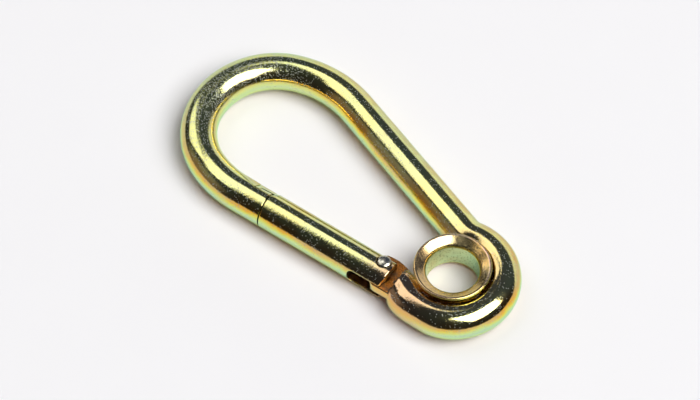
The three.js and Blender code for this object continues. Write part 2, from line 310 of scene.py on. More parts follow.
def gate_field(t, n, z):
    across = np.hypot(n, z)
    metal = across - BAR_R
    metal = cut(metal, t - (END_CROWN_T - END_BULGE * (n - END_CROWN_N) ** 2), GATE_END_R)
    metal = cut(metal, POCKET_T + KEY_GAP - t, KEY_TIP_R)
    metal = cut(metal, -outline(NOSE_IN_GATE, t, n))
    depths = ([JOINT_T, RELIEF_END_T], [BAR_R - RELIEF_DEPTH, BAR_R + GATE_RELIEF_CLEAR])
    metal = cut(metal, relief(t, n, z, depths), GATE_RELIEF_R)
    fork = np.maximum(np.abs(z) - SLOT_HALF, FORK_END_T - t)
    corner_t = np.maximum(SLOT_END_T + SLOT_CORNER_R - t, 0)
    corner_z = np.maximum(np.abs(z) - SLOT_HALF + SLOT_CORNER_R, 0)
    slot = np.maximum(np.hypot(corner_t, corner_z) - SLOT_CORNER_R, n)
    bore = np.maximum(across - BORE_R, BORE_END_T - t)
    from_rivet = np.hypot(t - RIVET_T, n - RIVET_N)
    hole = from_rivet - RIVET_HOLE_R
    recess = np.maximum(from_rivet - HEAD_RECESS_R, HEAD_SEAT - np.abs(z))
    removed = np.minimum(np.minimum(fork, slot), np.minimum(bore, np.minimum(hole, recess)))
    return cut(metal, -removed, OPENING_R)


# ---------- Bar path ----------


class BarPath:
    """Lines and arcs in plan, from the nose joint round the bow and the eye loop to the hinge."""

    def __init__(self):
        self.pieces = []  # start length, x, y, heading, curvature, length
        self.length = 0
        along = (math.cos(LEAN), math.sin(LEAN))
        self.gate_origin = (
            GATE_LINE_OFFSET * along[1] - SHOULDER_FROM_FOOT * along[0],
            -GATE_LINE_OFFSET * along[0] - SHOULDER_FROM_FOOT * along[1],
        )
        self.x = self.gate_origin[0] + JOINT_T * along[0]
        self.y = self.gate_origin[1] + JOINT_T * along[1]
        self.heading = LEAN + math.pi
        self.add(GATE_LINE_LENGTH + JOINT_T)
        for radius, turn in BOW_ARCS:
            self.arc(radius, -math.radians(turn))
        offset = -self.x * math.sin(self.heading) + self.y * math.cos(self.heading)
        reached = self.x * math.cos(self.heading) + self.y * math.sin(self.heading)
        neck = math.acos((offset + NECK_R) / (LOOP_R + NECK_R))
        hip = math.acos((GATE_LINE_OFFSET + HIP_R) / (LOOP_R + HIP_R))
        self.add(-reached - (LOOP_R + NECK_R) * math.sin(neck))
        self.arc(NECK_R, neck)
        self.arc(LOOP_R, -(self.heading - (LEAN - math.pi) + hip))
        self.arc(HIP_R, hip)
        from_origin = self.x - self.gate_origin[0], self.y - self.gate_origin[1]
        self.end_t = from_origin[0] * along[0] + from_origin[1] * along[1]
        self.hinge_s = self.length
        self.add(HINGE_RUN)

    def add(self, length, curvature=0.0):
        self.pieces.append((self.length, self.x, self.y, self.heading, curvature, length))
        self.x, self.y, self.heading = self.step(self.pieces[-1], length)
        self.length += length

    def arc(self, radius, turn):
        self.add(radius * abs(turn), math.copysign(1 / radius, turn))

    @staticmethod
    def step(piece, s):
        """Plan place and heading at a distance s into a piece."""
        _, x, y, heading, k, _ = piece
        if k == 0:
            return x + s * np.cos(heading), y + s * np.sin(heading), heading + 0 * s
        turned = heading + k * s
        right = (np.sin(turned) - np.sin(heading)) / k
        up = (np.cos(turned) - np.cos(heading)) / k
        return x + right, y - up, turned

    def place(self, points, normals):
        """Takes [s, n, z] points and their normals from the bar's own frame to the plan."""
        out, turned_normals = np.empty_like(points), np.empty_like(normals)
        s = points[:, 0]
        for i, piece in enumerate(self.pieces):
            low = -FAR if i == 0 else piece[0]
            high = FAR if i == len(self.pieces) - 1 else piece[0] + piece[5]
            here = (s >= low) & (s < high)
            x, y, heading = self.step(piece, s[here] - piece[0])
            n, z = points[here, 1], points[here, 2]
            across = np.stack([np.sin(heading), -np.cos(heading)], 1)
            along = np.stack([np.cos(heading), np.sin(heading)], 1)
            out[here, :2] = np.stack([x, y], 1) + n[:, None] * across
            out[here, 2] = z + MID_Z
            slope = normals[here, 0] / (1 + piece[4] * n)
            turned_normals[here, :2] = slope[:, None] * along + normals[here, 1:2] * across
            turned_normals[here, 2] = normals[here, 2]
        return out, turned_normals

    def stations(self):
        """Grid places along the bar: fine at the nose and the hinge, coarser in between."""
        first, last = NOSE_DETAIL[1], self.hinge_s - HINGE_DETAIL[0]
        places = list(np.arange(NOSE_DETAIL[0], first, BAR_PITCH))
        for start, _, _, _, k, length in self.pieces:
            pitch = STRAIGHT_PITCH if k == 0 else min(BEND_PITCH, BEND_STEP / abs(k))
            count = max(1, round(length / pitch))
            steps = start + length * np.arange(count) / count
            places += [s for s in steps if first < s < last - 0.1]
        places += list(np.arange(last, self.hinge_s + HINGE_DETAIL[1], BAR_PITCH))
        return np.array(places)


path = BarPath()


def body_field(s, n, z):
    hinge_t = path.end_t + path.hinge_s - s
    nose_t = JOINT_T - s
    outer = np.clip(-n / BAR_R, 0, 1)
    upset = UPSET_HEIGHT * hump(hinge_t, UPSET_T, UPSET_REACH) * outer
    dent = DENT_DEPTH * hump(hinge_t, DENT_T, DENT_REACH) * outer**2
    bar = np.hypot(n, z) - BAR_R - ripple(s, n, z) - upset + dent
    metal = cut(bar, outline(NOSE, nose_t, n))
    depths = (
        [RELIEF_START_T - RELIEF_LEAD, RELIEF_START_T, POCKET_T],
        [BAR_R + NOSE_RELIEF_CLEAR, BAR_R, BAR_R - RELIEF_DEPTH],
    )
    metal = cut(metal, relief(nose_t, n, z, depths), NOSE_RELIEF_R)
    ragged = 0.06 * np.sin(3.1 * n) + 0.04 * np.sin(7.7 * z + n)
    metal = cut(metal, SHOULDER_T - SHOULDER_SLOPE * n + ragged - hinge_t, SHOULDER_R)
    tongue = cut(outline(TONGUE, hinge_t, n), np.abs(z) - TONGUE_HALF, TONGUE_EDGE_R)
    flank = np.minimum(np.hypot(n, z) - TONGUE_FLANK_R, -n)
    tongue = cut(tongue, flank, TONGUE_FLANK_EDGE_R)
    bevel = (-n - z - TONGUE_FLANK_R - TONGUE_HALF + BEVEL) / math.sqrt(2)
    tongue = cut(tongue, bevel, TONGUE_FLANK_EDGE_R)
    hole = RIVET_HOLE_R - np.hypot(hinge_t - RIVET_T, n - RIVET_N)
    tongue = cut(tongue, hole, HOLE_EDGE_R)
    return join(metal, tongue, TONGUE_FILLET_R)


# ---------- Meshing ----------


def slopes(field, points, step):
    """Gradient of a field at each point."""
    out = np.empty_like(points)
    for i in range(3):
        ahead, behind = points.copy(), points.copy()
        ahead[:, i] += step
        behind[:, i] -= step
        out[:, i] = (field(*ahead.T) - field(*behind.T)) / (2 * step)
    return out


def drawn_on(field, points, passes=4, furthest=0.08, flattest=0.05, step=0.001):
    """Points moved onto the field's zero level in a few short steps."""
    for _ in range(passes):
        gradient = slopes(field, points, step)
        squared = np.maximum((gradient**2).sum(1), flattest)
        move = np.clip(field(*points.T) / squared, -furthest, furthest)
        points = points - move[:, None] * gradient
    return points


def surface_net(field, axes):
    """Points on the zero level of a field sampled on a grid, quads between them, and normals."""
    values = field(axes[0][:, None, None], axes[1][None, :, None], axes[2][None, None, :])
    inside = values < 0
    sides = (slice(None, -1), slice(1, None))
    corners = [(a, b, c) for a in (0, 1) for b in (0, 1) for c in (0, 1)]
    count = sum(inside[sides[a], sides[b], sides[c]].astype(np.int8) for a, b, c in corners)
    mixed = (count > 0) & (count < len(corners))
    cells = np.argwhere(mixed)
    index = np.full(mixed.shape, -1)
    index[mixed] = np.arange(len(cells))

    # A point for each cell that the surface passes through: the mean of its edges' crossings
    total, crossings = np.zeros((len(cells), 3)), np.zeros(len(cells))
    for axis in range(3):
        for corner in corners:
            if corner[axis]:
                continue
            start = cells + corner
            end = start.copy()
            end[:, axis] += 1
            a, b = values[tuple(start.T)], values[tuple(end.T)]
            crossed = (a < 0) != (b < 0)
            share = np.where(crossed, a / np.where(crossed, a - b, 1), 0)
            point = np.stack([axes[i][start[:, i]] for i in range(3)], 1)
            point[:, axis] += share * (axes[axis][end[:, axis]] - point[:, axis])
            total += point * crossed[:, None]
            crossings += crossed
    points = total / crossings[:, None]

    # A quad for each grid edge that the surface crosses, between the four cells round it
    quads = []
    for axis in range(3):
        u, v = (axis + 1) % 3, (axis + 2) % 3
        first, second = [slice(None)] * 3, [slice(None)] * 3
        first[axis], second[axis] = sides
        start_in, end_in = inside[tuple(first)], inside[tuple(second)]
        for leaving in (True, False):
            edges = np.argwhere(start_in & ~end_in if leaving else ~start_in & end_in)
            near = [edges.copy() for _ in range(4)]
            near[0][:, u] -= 1
            near[0][:, v] -= 1
            near[1][:, v] -= 1
            near[3][:, u] -= 1
            quad = np.stack([index[tuple(c.T)] for c in near], 1)
            quads.append(quad if leaving else quad[:, ::-1])

    points = drawn_on(field, points)
    return points, np.concatenate(quads), slopes(field, points, 0.02)


eye_low, eye_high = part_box("eyelet")
EYE = Vector(((eye_low.x + eye_high.x) / 2, (eye_low.y + eye_high.y) / 2, 0))


def make_piece(name, points, faces, normals=None):
    """A smooth mesh object from plan points in mm round the eye's centre."""
    mesh = bpy.data.meshes.new(name)
    placed = points * MM + np.array(EYE)
    mesh.from_pydata(placed.tolist(), [], [list(map(int, f)) for f in faces])
    mesh.shade_smooth()
    if normals is not None:
        normals = normals / np.linalg.norm(normals, axis=1)[:, None]
        mesh.normals_split_custom_set_from_vertices(normals.tolist())
    obj = bpy.data.objects.new(name, mesh)
    bpy.context.scene.collection.objects.link(obj)
    return obj


def from_gate(points):
    """Takes [t, n, z] points from the gate's frame to the plan."""
    return points @ GATE_TURN + np.array([*path.gate_origin, MID_Z])


def spans(*parts):
    """Grid places from (start, end, step) parts laid end to end."""
    places = [np.arange(start, end - step * 0.5, step) for start, end, step in parts]
    return np.concatenate(places + [[parts[-1][1]]])


GATE_TURN = np.array([
    [math.cos(LEAN), math.sin(LEAN), 0],
    [-math.sin(LEAN), math.cos(LEAN), 0],
    [0, 0, 1],
])
upward = spans((-5.9, 5.9, CROSS_PITCH))

# Hook body. Its frame is left-handed, so its quads are turned over.
body_axes = (path.stations(), spans((-6.6, 6.8, CROSS_PITCH)), upward)
points, quads, normals = surface_net(body_field, body_axes)
placed, placed_normals = path.place(points, normals)
hook_body = make_piece("hook_body_visual", placed, quads[:, ::-1], placed_normals)

# Gate: fine at its key, slot and hinge, coarser along the plain middle
gate_along = spans(
    (-53.6, -45.4, GATE_PITCH), (-45.4, -28.2, 1.2), (-28.2, -17, 0.35), (-17, -3.4, GATE_PITCH),
)
gate_axes = (gate_along, spans((-5.9, 5.9, GATE_PITCH)), upward)
points, quads, normals = surface_net(gate_field, gate_axes)
gate = make_piece("gate_visual", from_gate(points), quads, normals @ GATE_TURN)

# ---------- Turned pieces ----------


def rounded(profile, radius, steps=5):
    """A profile with each inner corner replaced by a small arc of points."""
    out = [profile[0]]
    for before, here, after in zip(profile, profile[1:], profile[2:]):
        a, b, c = (np.array(p, float) for p in (before, here, after))
        size_a, size_c = np.linalg.norm(a - b), np.linalg.norm(c - b)
        reach = min(radius, size_a * 0.45, size_c * 0.45)
        start, end = b + (a - b) / size_a * reach, b + (c - b) / size_c * reach
        for i in range(steps + 1):
            u = i / steps
            out.append(tuple((1 - u) ** 2 * start + 2 * u * (1 - u) * b + u * u * end))
    return out + [profile[-1]]


def divided(profile, step=0.3):
    """A profile with its long runs split, so that smooth shading stays at the corners."""
    out = [profile[0]]
    for (ar, az), (br, bz) in zip(profile, profile[1:]):
        count = max(1, round(math.hypot(br - ar, bz - az) / step))
        steps = range(1, count + 1)
        out += [(ar + (br - ar) * i / count, az + (bz - az) * i / count) for i in steps]
    return out


def quarter(start_r, start_z, end_r, end_z, steps=12):
    """A quarter ellipse that leaves the start upright and reaches the end level."""
    turns = np.linspace(0, math.pi / 2, steps)
    wide, high = end_r - start_r, end_z - start_z
    return [(end_r - wide * math.cos(a), start_z + high * math.sin(a)) for a in turns]


def revolve(profile, sides, closed=False, wobble=None):
    """Points and faces of a profile of (radius, height) turned about the z axis."""
    rings = len(profile)
    turn = 2 * math.pi * np.arange(sides) / sides
    points = []
    for radius, height in profile:
        r = radius * np.ones(sides) if wobble is None else wobble(radius, turn)
        points.append(np.stack([r * np.cos(turn), r * np.sin(turn), np.full(sides, height)], 1))
    faces = []
    for i in range(rings if closed else rings - 1):
        ring, after = i * sides, (i + 1) % rings * sides
        for j in range(sides):
            k = (j + 1) % sides
            faces.append((ring + j, ring + k, after + k, after + j))
    if not closed:
        faces += end_faces(rings * sides, sides)
    return np.concatenate(points), faces


def end_faces(count, sides):
    """The first and the last ring of a tube of this many points, as faces."""
    return [tuple(range(sides))[::-1], tuple(count - sides + j for j in range(sides))]


def about_gate(points):
    """Turns a piece made about the z axis to lie along the gate line, its height as t."""
    return from_gate(np.stack([points[:, 2], points[:, 0], points[:, 1]], 1))


# Rivet: domed head above, flat peened tail below
seat = HEAD_SEAT + 0.1
shaft = [
    (AXIS_R, TAIL_END), (HEAD_R * 0.8, TAIL_END), (HEAD_R, TAIL_END + TAIL_CHAMFER),
    (HEAD_R, -seat), (SHANK_R, -seat), (SHANK_R, seat), (HEAD_R - 0.05, seat),
]
dome_height = HEAD_TOP - DOME_BASE
dome = [
    (HEAD_R * math.cos(a), DOME_BASE + dome_height * math.sin(a))
    for a in np.linspace(0, math.pi / 2, ARC_STEPS + 1)[:-1]
]
rivet_profile = rounded(shaft, RIVET_EDGE_R) + dome + [(AXIS_R, HEAD_TOP)]
points, faces = revolve(rivet_profile, RIVET_SIDES)
points = from_gate(points + np.array([RIVET_T, RIVET_N, 0]))
hinge_rivet = make_piece("hinge_rivet_visual", points, faces)

# Plunger: a flat head and a stem inside the spring
plunger_face = RIVET_T - TONGUE_FACE - PLUNGER_GAP
plunger_back = plunger_face - PLUNGER_HEAD
stem_end = plunger_back - STEM_LENGTH
plunger_profile = rounded([
    (AXIS_R, stem_end), (STEM_R, stem_end), (STEM_R, plunger_back), (PLUNGER_R, plunger_back),
    (PLUNGER_R, plunger_face), (AXIS_R, plunger_face),
], PLUNGER_EDGE_R)
points, faces = revolve(plunger_profile, PLUNGER_SIDES)
spring_plunger = make_piece("spring_plunger_visual", about_gate(points), faces)

# Spring: a coil of round wire between the plunger and the bottom of the bore
spring_front = plunger_back - SPRING_GAP - WIRE_R
spring_back = BORE_END_T + WIRE_R + SPRING_GAP
u = np.linspace(0, 1, COIL_TURNS * COIL_STEPS + 1)
turn = 2 * math.pi * COIL_TURNS * u
coil_t = spring_front + (spring_back - spring_front) * u
centre = np.stack([coil_t, COIL_R * np.cos(turn), COIL_R * np.sin(turn)], 1)
outward = np.stack([0 * turn, np.cos(turn), np.sin(turn)], 1)
forward = np.gradient(centre, axis=0)
forward /= np.linalg.norm(forward, axis=1)[:, None]
side = np.cross(forward, outward)
wire = 2 * math.pi * np.arange(WIRE_SIDES) / WIRE_SIDES
rings = [centre + WIRE_R * (math.cos(a) * outward + math.sin(a) * side) for a in wire]
points = np.stack(rings, 1).reshape(-1, 3)
faces = []
for i in range(len(u) - 1):
    for j in range(WIRE_SIDES):
        a, b = i * WIRE_SIDES + j, i * WIRE_SIDES + (j + 1) % WIRE_SIDES
        faces.append((a, b, b + WIRE_SIDES, a + WIRE_SIDES))
faces += end_faces(len(points), WIRE_SIDES)
gate_spring = make_piece("gate_spring_visual", from_gate(points), faces)

# Eyelet: a straight tube with flared rims, the same above and below
rim = [
    (RIM_R - RIM_EDGE_R * (1 - math.cos(a)), EYELET_HALF - RIM_EDGE_R * (1 - math.sin(a)))
    for a in np.linspace(0, math.pi / 2, RIM_STEPS)
]
rim_inside = (RIM_R - RIM_EDGE_R - RIM_FLAT, EYELET_HALF - RIM_FALL)
mouth = rounded([
    rim[-1], rim_inside, (MOUTH_R, MOUTH_HALF), (LIP_R, LIP_HALF), (THROAT_R, THROAT_HALF),
    (THROAT_R, 0),
], MOUTH_EDGE_R)
upper = divided(quarter(WAIST_R, WAIST_HALF, RIM_R, RIM_UNDERSIDE) + rim + mouth[1:])
lower = [(r, -z) for r, z in upper[-2:0:-1]]
eyelet_profile = upper + lower + divided([lower[-1], upper[0]])[1:-1]


def out_of_round(radius, turn):
    """The rims are a little uneven, and the throat isn't."""
    flare = (radius - THROAT_R) / (RIM_R - THROAT_R)
    unevenness = 1 + 0.6 * np.sin(2 * turn + 0.7) + 0.4 * np.sin(5 * turn)
    return radius - OUT_OF_ROUND * flare * unevenness


points, faces = revolve(eyelet_profile, EYELET_SIDES, closed=True, wobble=out_of_round)
points[:, 2] += EYELET_HALF
eyelet = make_piece("eyelet_visual", points, faces)

# ---------- Materials ----------


class Nodes:
    """A short way to write a node tree. Distances in it are in metres."""

    def __init__(self, tree):
        self.tree = tree

    def add(self, kind, inputs=(), **settings):
        node = self.tree.nodes.new("ShaderNode" + kind)
        for key, value in settings.items():
            setattr(node, key, value)
        for key, value in dict(inputs).items():
            self.put(node.inputs[key], value)
        return node

    def put(self, socket, value):
        """Sets an input to a value, or links a node or one of its outputs to it."""
        if isinstance(value, bpy.types.Node):
            value = value.outputs[0]
        if isinstance(value, bpy.types.NodeSocket):
            self.tree.links.new(value, socket)
        else:
            socket.default_value = value

    def math(self, operation, a, b=0.0):
        return self.add("Math", {0: a, 1: b}, operation=operation)

    def plus(self, a, b):
        return self.math("ADD", a, b)

    def minus(self, a, b):
        return self.math("SUBTRACT", a, b)

    def times(self, a, b):
        return self.math("MULTIPLY", a, b)

    def vector(self, operation, *inputs):
        return self.add("VectorMath", dict(enumerate(inputs)), operation=operation).outputs

    def distance(self, place, point):
        return self.vector("DISTANCE", place, point)[1]

    def upward(self, vector):
        """The z component of a vector."""
        return self.add("SeparateXYZ", {0: vector}).outputs[2]

    def fade(self, value, low, high, to_low=0.0, to_high=1.0):
        """Runs smoothly from to_low to to_high as a value goes from low to high."""
        inputs = {0: value, 1: low, 2: high, 3: to_low, 4: to_high}
        return self.add("MapRange", inputs, interpolation_type="SMOOTHSTEP")

    def fall(self, value, low, high, start=1.0):
        return self.fade(value, low, high, start, 0.0)

    def blend(self, amount, a, b):
        node = self.add("Mix", data_type="RGBA")
        self.put(node.inputs[0], amount)
        self.put(node.inputs[6], a)
        self.put(node.inputs[7], b)
        return node.outputs[2]

    def ramp(self, value, stops):
        """Colour ramp through (position, colour) stops."""
        node = self.add("ValToRGB", {0: value})
        points = node.color_ramp.elements
        while len(points) < len(stops):
            points.new(0.5)
        for point, (position, _) in zip(points, stops):
            point.position = position
        for point, (_, tint) in zip(points, stops):
            point.color = tint
        return node.outputs[0]

    def noise(self, place, scale, detail=2.0, rough=0.5, distortion=0.0):
        inputs = {"Scale": scale, "Detail": detail, "Roughness": rough, "Distortion": distortion}
        node = self.add("TexNoise", inputs)
        self.put(node.inputs["Vector"], place)
        return node.outputs[0]


def colour(r, g, b):
    return (r, g, b, 1.0)


def mm(*lengths):
    return [length * MM for length in lengths]


def metal(name):
    """A new metallic material, its nodes and its shader."""
    material = bpy.data.materials.new(name)
    material.use_nodes = True
    shader = material.node_tree.nodes["Principled BSDF"]
    shader.inputs["Metallic"].default_value = 1.0
    return material, Nodes(material.node_tree), shader


GRAIN_S = 54  # where the plating is grainiest, along the bar
GRAIN_Z = 3.0
on_bow = np.array([[GRAIN_S, 0.0, GRAIN_Z]])
GRAIN_SPOT = EYE + Vector(path.place(on_bow, on_bow)[0][0]) * MM
GATE_ORIGIN = EYE + Vector((*path.gate_origin, MID_Z)) * MM
ALONG_GATE = Vector((math.cos(LEAN), math.sin(LEAN), 0))
WARM_SPOT = GATE_ORIGIN + ALONG_GATE * 2 * MM
EYE_MIDDLE = EYE + Vector((0, 0, MID_Z * MM))

# Plating tints against how level the surface is: 0 on the flanks, 1 on top and underneath
BAR_TINTS = [
    (0.0, colour(0.54, 0.70, 0.46)), (0.17, colour(0.62, 0.78, 0.30)),
    (0.33, colour(0.82, 0.72, 0.10)), (0.46, colour(0.84, 0.46, 0.06)),
    (0.66, colour(0.74, 0.40, 0.11)), (0.88, colour(0.90, 0.84, 0.32)),
]
SHEET_TINTS = [
    (0.0, colour(0.54, 0.66, 0.36)), (0.3, colour(0.78, 0.68, 0.08)),
    (0.55, colour(0.62, 0.46, 0.06)), (0.8, colour(0.88, 0.55, 0.17)),
    (0.93, colour(0.94, 0.60, 0.22)), (0.99, colour(0.94, 0.60, 0.42)),
]
WARM_BAR = (colour(0.80, 0.44, 0.13), colour(0.74, 0.44, 0.29))  # on the flanks, on top
WARM_SHEET = (colour(0.80, 0.54, 0.20), colour(0.84, 0.58, 0.30))
COOL_MINT = colour(0.50, 0.75, 0.46)
PALE_GREEN = colour(0.68, 0.76, 0.34)
LOOP_GOLD = colour(0.84, 0.50, 0.24)
# Orange painted on the tongue's flat faces: a painted reflection of the yellow parts round it
TONGUE_REFLECTION_ORANGE = colour(0.74, 0.27, 0.05)
# Dark grey: soot blotches on the tongue, and painted shade over the shoulder's rough sheared end
SOOT_AND_SHADE_GREY = colour(0.16, 0.12, 0.08)
# Near black painted on the tongue between the gate's arms: painted shade in that gap
GAP_SHADE_BROWN = colour(0.05, 0.024, 0.010)
# Dark brown painted inside the gate's slot and bore: painted shade in those hollows
BORE_SHADE_BROWN = colour(0.11, 0.055, 0.024)
SPECK_GREY = colour(0.50, 0.52, 0.46)
TARNISH = colour(0.16, 0.12, 0.05)
EDGE_TINT = colour(0.70, 1.0, 0.92)  # of reflections at a glancing angle

# Noise in the plating: waves per metre, detail, roughness and distortion
TINT_WANDER = (110, 3, 0.6, 0.5)
WARM_PATCHES = (95, 3, 0.55, 0.4)
COOL_DRIFT = (62, 2, 0.5, 0.6)
SPECK_CLUSTERS = (120, 3, 0.6)
HAZE_CLOUDS = (260, 4, 0.6)
SOOT_BLOTCHES = (380, 4, 0.65)
RAGGED_EDGE = (420, 3, 0.6)
FINE_GRAIN = (1700, 2, 0.6)
SPECK_CELLS = 3200.0  # per metre

# Where each mark fades out, in mm from its spot
HEAT_REACH = (7, 19)
PALE_REACH = (14, 45)
GRAIN_REACH = (6, 32)
EYE_REACH = (10.5, 19)

# Where each mark fades in and out near the hinge, in mm along the gate line and away from it
TONGUE_START = (-14, -13)
TONGUE_STOP = (-1.3, -0.7)
GAP_STOP = (-4.9, -4.1)
GAP_HEIGHT = (MID_Z - 1.4, MID_Z - 0.7)
SHEAR_START = (-2.1, -1.5)
SHEAR_STOP = (-1.1, -0.3)
SHEAR_RAGGED = 0.8
NEAR_LINE = (7, 8)
BORE_DEPTH = (BAR_R - 0.6, BAR_R - 0.3)


def gate_place(nodes, place):
    """A point's distance along the gate line from the shoulder, and its distance from that line."""
    offset = nodes.vector("SUBTRACT", place, GATE_ORIGIN)[0]
    t = nodes.vector("DOT_PRODUCT", offset, ALONG_GATE)[1]
    line = nodes.vector("CROSS_PRODUCT", offset, ALONG_GATE)[0]
    return t, nodes.vector("LENGTH", line)[1]


def stretch(nodes, t, radius, start, stop):
    """1 close to the gate line between two fades along it."""
    ends = nodes.times(nodes.fade(t, *mm(*start)), nodes.fall(t, *mm(*stop)))
    return nodes.times(ends, nodes.fall(radius, *mm(*NEAR_LINE)))


# Each mark finder is 1 where its mark is, for a place and how level the surface is there.


def inside_gate(nodes, place, upright):
    """The gate's slot and bore, darkened brown as painted shade."""
    t, radius = gate_place(nodes, place)
    deep = nodes.fall(radius, *mm(*BORE_DEPTH))
    return nodes.times(deep, nodes.fade(t, *mm(BORE_END_T - 1, BORE_END_T)))


def on_tongue(nodes, place, upright):
    """The flat faces of the hinge tongue."""
    near = stretch(nodes, *gate_place(nodes, place), TONGUE_START, TONGUE_STOP)
    return nodes.times(near, nodes.fade(upright, 0.6, 0.9))


def on_shoulder(nodes, place, upright):
    """The sheared edge that the gate's end faces: rough metal, greyed as painted shade."""
    t, radius = gate_place(nodes, place)
    ragged = mm(-SHEAR_RAGGED, SHEAR_RAGGED)
    t = nodes.plus(t, nodes.fade(nodes.noise(place, *RAGGED_EDGE), 0.3, 0.7, *ragged))
    near = stretch(nodes, t, radius, SHEAR_START, SHEAR_STOP)
    return nodes.times(near, nodes.fade(upright, 0.35, 0.75))


def on_soot(nodes, place, upright):
    """Blotches of soot on the tongue's flat faces."""
    blotch = nodes.fade(nodes.noise(place, *SOOT_BLOTCHES), 0.46, 0.62, 0.0, 0.7)
    return nodes.times(blotch, on_tongue(nodes, place, upright))


def in_gap(nodes, place, upright):
    """The lower part of the tongue between the gate's arms, darkened near black as painted shade.
    """
    near = stretch(nodes, *gate_place(nodes, place), TONGUE_START, GAP_STOP)
    return nodes.times(near, nodes.fall(nodes.upward(place), *mm(*GAP_HEIGHT)))


def round_eye(nodes, place, upright):
    """The parts of the loop that face the eyelet."""
    return nodes.fall(nodes.distance(place, EYE_MIDDLE), *mm(*EYE_REACH), 0.85)


def plating_tint(nodes, place, upright, to_grain, tints, warm, cool):
    """Interference tint that runs with the slope, drifts in patches, and is warm by the hinge."""
    warm = nodes.blend(nodes.fade(upright, 0.3, 0.8), *warm)
    wander = nodes.fade(nodes.noise(place, *TINT_WANDER), 0.3, 0.7, -0.08, 0.08)
    tint = nodes.ramp(nodes.plus(upright, wander), tints)
    patches = nodes.fade(nodes.noise(place, *WARM_PATCHES), 0.5, 0.7)
    tint = nodes.blend(nodes.times(patches, 0.25), tint, warm)
    drift = nodes.fade(nodes.noise(place, *COOL_DRIFT), 0.46, 0.64)
    tint = nodes.blend(nodes.times(drift, 0.25), tint, cool)
    heat = nodes.fall(nodes.distance(place, WARM_SPOT), *mm(*HEAT_REACH), 0.8)
    tint = nodes.blend(heat, tint, warm)
    return nodes.blend(nodes.fall(to_grain, *mm(*PALE_REACH), 0.5), tint, PALE_GREEN)


def speckle(nodes, place, share):
    """1 in small round specks, in this share of the cells of a fine pattern."""
    cell = nodes.add("TexVoronoi", {"Vector": place, "Scale": SPECK_CELLS})
    chance = nodes.add("SeparateColor", {0: cell.outputs["Color"]}).outputs[0]
    dot = nodes.fall(cell.outputs["Distance"], 0.3, 0.5)
    return nodes.times(nodes.math("GREATER_THAN", share, chance), dot)


def chromate(name, tints, warm, cool, marks=(), grain=1.0, haze=(0.07, 0.15),
             speck_tint=SPECK_GREY, least_specks=0.05):
    """Yellow chromate over zinc: haze, fine grain, specks and (finder, tint, dullness) marks."""
    material, nodes, shader = metal(name)
    place = nodes.add("TexCoord").outputs["Object"]
    upright = nodes.math("ABSOLUTE", nodes.upward(nodes.add("NewGeometry").outputs["Normal"]))
    to_grain = nodes.distance(place, GRAIN_SPOT)
    grainy = nodes.times(nodes.fall(to_grain, *mm(*GRAIN_REACH)), nodes.fade(upright, 0.3, 0.7))
    tint = plating_tint(nodes, place, upright, to_grain, tints, warm, cool)
    clusters = nodes.fade(nodes.noise(place, *SPECK_CLUSTERS), 0.4, 0.66)
    share = nodes.plus(least_specks, nodes.times(clusters, 0.19 * grain))
    share = nodes.plus(share, nodes.times(grainy, 0.45))
    rough = nodes.fade(nodes.noise(place, *HAZE_CLOUDS), 0.3, 0.75, *haze)
    rough = nodes.plus(rough, nodes.times(grainy, 0.04))
    for find, mark_tint, dullness in marks:
        mask = find(nodes, place, upright)
        tint = nodes.blend(mask, tint, mark_tint)
        rough = nodes.plus(rough, nodes.times(mask, dullness))
        share = nodes.minus(share, nodes.times(mask, dullness))
    speck = speckle(nodes, place, share)
    nodes.put(shader.inputs["Base Color"], nodes.blend(speck, tint, speck_tint))
    nodes.put(shader.inputs["Specular Tint"], EDGE_TINT)
    nodes.put(shader.inputs["Metallic"], nodes.minus(1.0, nodes.times(speck, 0.4)))
    nodes.put(shader.inputs["Roughness"], nodes.plus(rough, nodes.times(speck, 0.35)))
    height = nodes.plus(nodes.noise(place, *FINE_GRAIN), nodes.times(speck, -0.3))
    strength = nodes.plus(0.24 * grain, nodes.times(grainy, 0.08))
    bump = {"Strength": strength, "Distance": 0.08 * MM, "Height": height}
    nodes.put(shader.inputs["Normal"], nodes.add("Bump", bump))
    return material


def plain_metal(name, base, worn, haze, scale):
    """Bare or oiled metal that changes in blotches between two colours and two degrees of haze."""
    material, nodes, shader = metal(name)
    place = nodes.add("TexCoord").outputs["Object"]
    blotch = nodes.noise(place, scale, 4, 0.6)
    tint = nodes.blend(nodes.fade(blotch, 0.35, 0.7), base, worn)
    nodes.put(shader.inputs["Base Color"], tint)
    nodes.put(shader.inputs["Roughness"], nodes.fade(blotch, 0.3, 0.7, *haze))
    height = nodes.noise(place, scale * 3, 3, 0.6)
    bump = {"Strength": 0.35, "Distance": 0.03 * MM, "Height": height}
    nodes.put(shader.inputs["Normal"], nodes.add("Bump", bump))
    return material


body_marks = (
    (round_eye, LOOP_GOLD, 0.0), (on_tongue, TONGUE_REFLECTION_ORANGE, 0.14), (on_soot, SOOT_AND_SHADE_GREY, 0.15),
    (on_shoulder, SOOT_AND_SHADE_GREY, 0.3), (in_gap, GAP_SHADE_BROWN, 0.3),
)
gate_marks = ((inside_gate, BORE_SHADE_BROWN, 0.3),)
body_material = chromate("plated_body_finish", BAR_TINTS, WARM_BAR, COOL_MINT, body_marks)
gate_material = chromate("plated_gate_finish", BAR_TINTS, WARM_BAR, COOL_MINT, gate_marks)
sheet_material = chromate(
    "plated_sheet_finish", SHEET_TINTS, WARM_SHEET, COOL_MINT,
    grain=1.6, haze=(0.17, 0.28), speck_tint=TARNISH, least_specks=0.20,
)
rivet_material = plain_metal(
    "bright_steel", colour(0.78, 0.75, 0.62), colour(0.55, 0.52, 0.42), (0.14, 0.34), 900,
)
spring_material = plain_metal(
    "oiled_spring_wire", colour(0.95, 0.72, 0.26), colour(0.70, 0.46, 0.16), (0.3, 0.5), 700,
)
plunger_material = plain_metal(
    "pink_plated_steel", colour(0.95, 0.55, 0.50), colour(0.9, 0.66, 0.45), (0.12, 0.3), 500,
)

